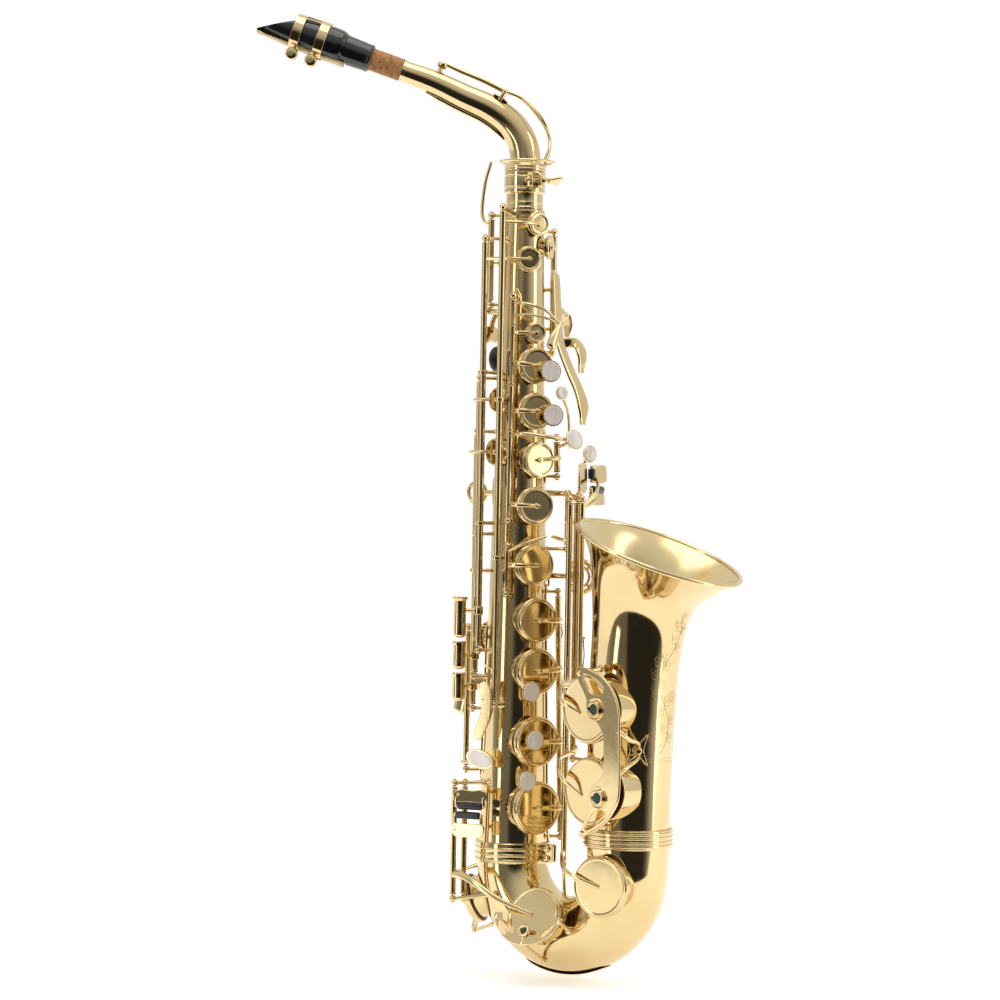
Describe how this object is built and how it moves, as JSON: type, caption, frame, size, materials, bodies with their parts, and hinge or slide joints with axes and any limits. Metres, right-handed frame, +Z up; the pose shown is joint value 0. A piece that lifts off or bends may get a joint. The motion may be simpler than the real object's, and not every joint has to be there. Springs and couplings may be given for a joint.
{
  "type": "alto saxophone",
  "caption": "Curved alto saxophone in lacquered brass with bell, bow, swivelled neck, black mouthpiece, padded keys on hinge rods, pearl touches and key guards.",
  "frame": {"origin": "centre of the strap ring behind the body tube, from which the instrument hangs", "axes": "+Z up along the body tube towards the neck, +X from the body tube towards the bell, +Y towards the player's left hand side"},
  "size_m": [0.3476, 0.1751, 0.6973],
  "materials": {
    "lacquered_brass": "clear lacquered, polished pale gold",
    "ebonite": "polished black hard rubber",
    "cork": "sanded natural cork",
    "cane": "scraped natural cane",
    "steel": "drawn steel rod",
    "black_plastic": "satin black"
  },
  "bodies": {
    "body": {"body_bow_ring": "lacquered_brass", "bell_bow_ring": "lacquered_brass", "bell_brace": "lacquered_brass", "neck_receiver": "lacquered_brass", "body_tube": "lacquered_brass", "bow": "lacquered_brass", "bell": "lacquered_brass", "upper_stack_rod": "steel", "lower_stack_rod": "steel", "thumb_rest": "black_plastic", "thumb_hook": "lacquered_brass", "strap_ring": "lacquered_brass", "low_c_guard": "lacquered_brass", "low_eb_guard": "lacquered_brass", "bell_key_guard": "lacquered_brass"},
    "neck": {"neck": "lacquered_brass", "neck_cork": "cork"},
    "mouthpiece": {"mouthpiece": "ebonite", "reed": "cane", "ligature": "lacquered_brass"},
    "neck_screw": {"neck_screw": "lacquered_brass"},
    "neck_octave_key": {"neck_octave_key": "lacquered_brass"},
    "ligature_screw_rear": {"ligature_screw_rear": "lacquered_brass"},
    "ligature_screw_front": {"ligature_screw_front": "lacquered_brass"},
    "b_key": {"b_key": "lacquered_brass"},
    "a_key": {"a_key": "lacquered_brass"},
    "g_key": {"g_key": "lacquered_brass"},
    "bis_key": {"bis_key": "lacquered_brass"},
    "front_f_key": {"front_f_key": "lacquered_brass"},
    "gsharp_key": {"gsharp_key": "lacquered_brass"},
    "fsharp_key": {"fsharp_key": "lacquered_brass"},
    "f_key": {"f_key": "lacquered_brass"},
    "e_key": {"e_key": "lacquered_brass"},
    "d_key": {"d_key": "lacquered_brass"},
    "palm_f_key": {"palm_f_key": "lacquered_brass"},
    "palm_eb_key": {"palm_eb_key": "lacquered_brass"},
    "palm_d_key": {"palm_d_key": "lacquered_brass"},
    "side_e_key": {"side_e_key": "lacquered_brass"},
    "side_c_key": {"side_c_key": "lacquered_brass"},
    "side_bb_key": {"side_bb_key": "lacquered_brass"},
    "high_fsharp_key": {"high_fsharp_key": "lacquered_brass"},
    "fsharp_trill_key": {"fsharp_trill_key": "lacquered_brass"},
    "octave_thumb_lever": {"octave_thumb_lever": "lacquered_brass"},
    "body_octave_key": {"body_octave_key": "lacquered_brass"},
    "gsharp_lever": {"gsharp_lever": "lacquered_brass"},
    "csharp_lever": {"csharp_lever": "lacquered_brass"},
    "low_b_key": {"low_b_key": "lacquered_brass"},
    "low_b_roller": {"low_b_roller": "black_plastic"},
    "low_bb_key": {"low_bb_key": "lacquered_brass"},
    "low_bb_roller": {"low_bb_roller": "black_plastic"},
    "low_csharp_key": {"low_csharp_key": "lacquered_brass"},
    "low_eb_key": {"low_eb_key": "lacquered_brass"},
    "low_eb_roller": {"low_eb_roller": "black_plastic"},
    "low_c_key": {"low_c_key": "lacquered_brass"},
    "low_c_roller": {"low_c_roller": "black_plastic"}
  },
  "joints": [
    {"name": "neck_swivel", "type": "hinge", "parent": "body", "child": "neck", "pos_m": [0.0375, 0, 0.236], "axis": [0, 0, 1], "range_deg": [-80, 80]},
    {"name": "mouthpiece_slide", "type": "slide", "parent": "neck", "child": "mouthpiece", "axis": [-0.7876, -0.5213, 0.3285], "range_m": [-0.004, 0.01]},
    {"name": "neck_screw_turn", "type": "hinge", "parent": "body", "child": "neck_screw", "pos_m": [0.04893, -0.01594, 0.229], "axis": [0.5736, 0.8192, 0], "range_deg": [-90, 90]},
    {"name": "neck_octave_key_hinge", "type": "hinge", "parent": "neck", "child": "neck_octave_key", "pos_m": [0.02477, -0.00962, 0.29463], "axis": [-0.5519, 0.8339, 0], "range_deg": [0, 3.5], "stiffness_Nm_per_rad": 0.06, "springref_deg": -8.59},
    {"name": "ligature_screw_rear_turn", "type": "hinge", "parent": "mouthpiece", "child": "ligature_screw_rear", "pos_m": [-0.09434, -0.08727, 0.31432], "axis": [0.5519, -0.8339, 0], "range_deg": [-180, 180]},
    {"name": "ligature_screw_front_turn", "type": "hinge", "parent": "mouthpiece", "child": "ligature_screw_front", "pos_m": [-0.10655, -0.09535, 0.31941], "axis": [0.5519, -0.8339, 0], "range_deg": [-180, 180]},
    {"name": "b_key_hinge", "type": "hinge", "parent": "body", "child": "b_key", "pos_m": [0.04475, -0.0237, 0.122], "axis": [0.0078, -0.0254, -0.9996], "range_deg": [-7, 0], "stiffness_Nm_per_rad": 0.06, "springref_deg": 8.59},
    {"name": "a_key_hinge", "type": "hinge", "parent": "body", "child": "a_key", "pos_m": [0.04509, -0.02481, 0.0783], "axis": [0.0078, -0.0254, -0.9996], "range_deg": [-7, 0], "stiffness_Nm_per_rad": 0.06, "springref_deg": 8.59},
    {"name": "g_key_hinge", "type": "hinge", "parent": "body", "child": "g_key", "pos_m": [0.04534, -0.02565, 0.0453], "axis": [0.0078, -0.0254, -0.9996], "range_deg": [-7, 0], "stiffness_Nm_per_rad": 0.06, "springref_deg": 8.59},
    {"name": "bis_key_hinge", "type": "hinge", "parent": "body", "child": "bis_key", "pos_m": [0.06187, 0.01296, 0.016], "axis": [-0.0235, -0.0125, 0.9996], "range_deg": [-7, 0], "stiffness_Nm_per_rad": 0.06, "springref_deg": 8.59},
    {"name": "front_f_key_hinge", "type": "hinge", "parent": "body", "child": "front_f_key", "pos_m": [0.0446, -0.02322, 0.141], "axis": [0.0078, -0.0254, -0.9996], "range_deg": [0, 6], "stiffness_Nm_per_rad": 0.06, "springref_deg": -8.59},
    {"name": "gsharp_key_hinge", "type": "hinge", "parent": "body", "child": "gsharp_key", "pos_m": [0.04601, -0.02785, -0.041], "axis": [0.0078, -0.0254, -0.9996], "range_deg": [0, 8], "stiffness_Nm_per_rad": 0.06, "springref_deg": -8.59},
    {"name": "fsharp_key_hinge", "type": "hinge", "parent": "body", "child": "fsharp_key", "pos_m": [0.06484, 0.01454, -0.1105], "axis": [-0.0235, -0.0125, 0.9996], "range_deg": [-6, 0], "stiffness_Nm_per_rad": 0.06, "springref_deg": 8.59},
    {"name": "f_key_hinge", "type": "hinge", "parent": "body", "child": "f_key", "pos_m": [0.06587, 0.01508, -0.154], "axis": [-0.0235, -0.0125, 0.9996], "range_deg": [-6, 0], "stiffness_Nm_per_rad": 0.06, "springref_deg": 8.59},
    {"name": "e_key_hinge", "type": "hinge", "parent": "body", "child": "e_key", "pos_m": [0.06699, 0.01568, -0.202], "axis": [-0.0235, -0.0125, 0.9996], "range_deg": [-6, 0], "stiffness_Nm_per_rad": 0.06, "springref_deg": 8.59},
    {"name": "d_key_hinge", "type": "hinge", "parent": "body", "child": "d_key", "pos_m": [0.06807, 0.01626, -0.248], "axis": [-0.0235, -0.0125, 0.9996], "range_deg": [-6, 0], "stiffness_Nm_per_rad": 0.06, "springref_deg": 8.59},
    {"name": "palm_f_key_hinge", "type": "hinge", "parent": "body", "child": "palm_f_key", "pos_m": [0.04947, 0.02252, 0.1586], "axis": [0, 0, 1], "range_deg": [0, 9], "stiffness_Nm_per_rad": 0.06, "springref_deg": -8.59},
    {"name": "palm_eb_key_hinge", "type": "hinge", "parent": "body", "child": "palm_eb_key", "pos_m": [0.04947, 0.02252, 0.1583], "axis": [0, 0, -1], "range_deg": [0, 9], "stiffness_Nm_per_rad": 0.06, "springref_deg": -8.59},
    {"name": "palm_d_key_hinge", "type": "hinge", "parent": "body", "child": "palm_d_key", "pos_m": [0.04947, 0.02252, 0.1347], "axis": [0, 0, -1], "range_deg": [0, 9], "stiffness_Nm_per_rad": 0.06, "springref_deg": -8.59},
    {"name": "side_e_key_hinge", "type": "hinge", "parent": "body", "child": "side_e_key", "pos_m": [0.02248, -0.02825, 0.1832], "axis": [0, 0, -1], "range_deg": [0, 9], "stiffness_Nm_per_rad": 0.06, "springref_deg": -8.59},
    {"name": "side_c_key_hinge", "type": "hinge", "parent": "body", "child": "side_c_key", "pos_m": [0.0178, -0.02522, 0.0812], "axis": [0, 0, -1], "range_deg": [0, 8], "stiffness_Nm_per_rad": 0.06, "springref_deg": -8.59},
    {"name": "side_bb_key_hinge", "type": "hinge", "parent": "body", "child": "side_bb_key", "pos_m": [0.01372, -0.02141, 0.0422], "axis": [0, 0, -1], "range_deg": [0, 8], "stiffness_Nm_per_rad": 0.06, "springref_deg": -8.59},
    {"name": "high_fsharp_key_hinge", "type": "hinge", "parent": "body", "child": "high_fsharp_key", "pos_m": [0.041, -0.03332, 0.2047], "axis": [0, 0, -1], "range_deg": [0, 9], "stiffness_Nm_per_rad": 0.06, "springref_deg": -8.59},
    {"name": "fsharp_trill_key_hinge", "type": "hinge", "parent": "body", "child": "fsharp_trill_key", "pos_m": [0.00571, -0.0169, -0.2007], "axis": [0, 0, 1], "range_deg": [0, 7], "stiffness_Nm_per_rad": 0.06, "springref_deg": -8.59},
    {"name": "octave_thumb_lever_hinge", "type": "hinge", "parent": "body", "child": "octave_thumb_lever", "pos_m": [0.01503, 0.009, 0.134], "axis": [0, -1, 0], "range_deg": [0, 5], "stiffness_Nm_per_rad": 0.06, "springref_deg": -8.59},
    {"name": "body_octave_key_hinge", "type": "hinge", "parent": "body", "child": "body_octave_key", "pos_m": [0.0176, -0.01342, 0.1413], "axis": [0, 0, 1], "range_deg": [0, 8], "stiffness_Nm_per_rad": 0.06, "springref_deg": -8.59},
    {"name": "gsharp_lever_hinge", "type": "hinge", "parent": "body", "child": "gsharp_lever", "pos_m": [0.0745, 0.009, -0.0372], "axis": [0, 0, 1], "range_deg": [0, 6], "stiffness_Nm_per_rad": 0.06, "springref_deg": -8.59},
    {"name": "csharp_lever_hinge", "type": "hinge", "parent": "body", "child": "csharp_lever", "pos_m": [0.0745, 0.009, -0.02], "axis": [0, 0, 1], "range_deg": [0, 6], "stiffness_Nm_per_rad": 0.06, "springref_deg": -8.59},
    {"name": "low_b_key_hinge", "type": "hinge", "parent": "body", "child": "low_b_key", "pos_m": [0.093, -0.001, -0.0058], "axis": [0, 0, -1], "range_deg": [-5, 0], "stiffness_Nm_per_rad": 0.06, "springref_deg": 8.59},
    {"name": "low_b_roller_spin", "type": "hinge", "parent": "low_b_key", "child": "low_b_roller", "pos_m": [0.08407, 0.02538, 0.0115], "axis": [0, 0, 1], "continuous": true},
    {"name": "low_bb_key_hinge", "type": "hinge", "parent": "body", "child": "low_bb_key", "pos_m": [0.086, 0.0035, -0.0058], "axis": [0, 0, -1], "range_deg": [-5, 0], "stiffness_Nm_per_rad": 0.06, "springref_deg": 8.59},
    {"name": "low_bb_roller_spin", "type": "hinge", "parent": "low_bb_key", "child": "low_bb_roller", "pos_m": [0.08337, 0.02732, 0.004], "axis": [-0.1099, 0.9939, 0], "continuous": true},
    {"name": "low_csharp_key_hinge", "type": "hinge", "parent": "body", "child": "low_csharp_key", "pos_m": [0.0845, -0.004, -0.0058], "axis": [0, 0, -1], "range_deg": [0, 5], "stiffness_Nm_per_rad": 0.06, "springref_deg": -8.59},
    {"name": "low_eb_key_hinge", "type": "hinge", "parent": "body", "child": "low_eb_key", "pos_m": [0.0143, -0.03, -0.2937], "axis": [0, 0, 1], "range_deg": [0, 6], "stiffness_Nm_per_rad": 0.06, "springref_deg": -8.59},
    {"name": "low_eb_roller_spin", "type": "hinge", "parent": "low_eb_key", "child": "low_eb_roller", "pos_m": [0.01926, -0.04516, -0.2274], "axis": [0.9707, 0.2402, 0], "continuous": true},
    {"name": "low_c_key_hinge", "type": "hinge", "parent": "body", "child": "low_c_key", "pos_m": [0.0105, -0.038, -0.2148], "axis": [0, 0, -1], "range_deg": [-5, 0], "stiffness_Nm_per_rad": 0.06, "springref_deg": 8.59},
    {"name": "low_c_roller_spin", "type": "hinge", "parent": "low_c_key", "child": "low_c_roller", "pos_m": [0.01861, -0.0459, -0.234], "axis": [0.988, 0.1547, 0], "continuous": true}
  ],
  "couplings": [
    {"joint": "body_octave_key_hinge", "follows": "octave_thumb_lever_hinge", "ratio": 1.6},
    {"joint": "neck_octave_key_hinge", "follows": "octave_thumb_lever_hinge", "ratio": 0.7},
    {"joint": "gsharp_key_hinge", "follows": "gsharp_lever_hinge", "ratio": 1.333},
    {"joint": "low_csharp_key_hinge", "follows": "csharp_lever_hinge", "ratio": 0.833},
    {"joint": "fsharp_key_hinge", "follows": "f_key_hinge", "ratio": 1}
  ]
}
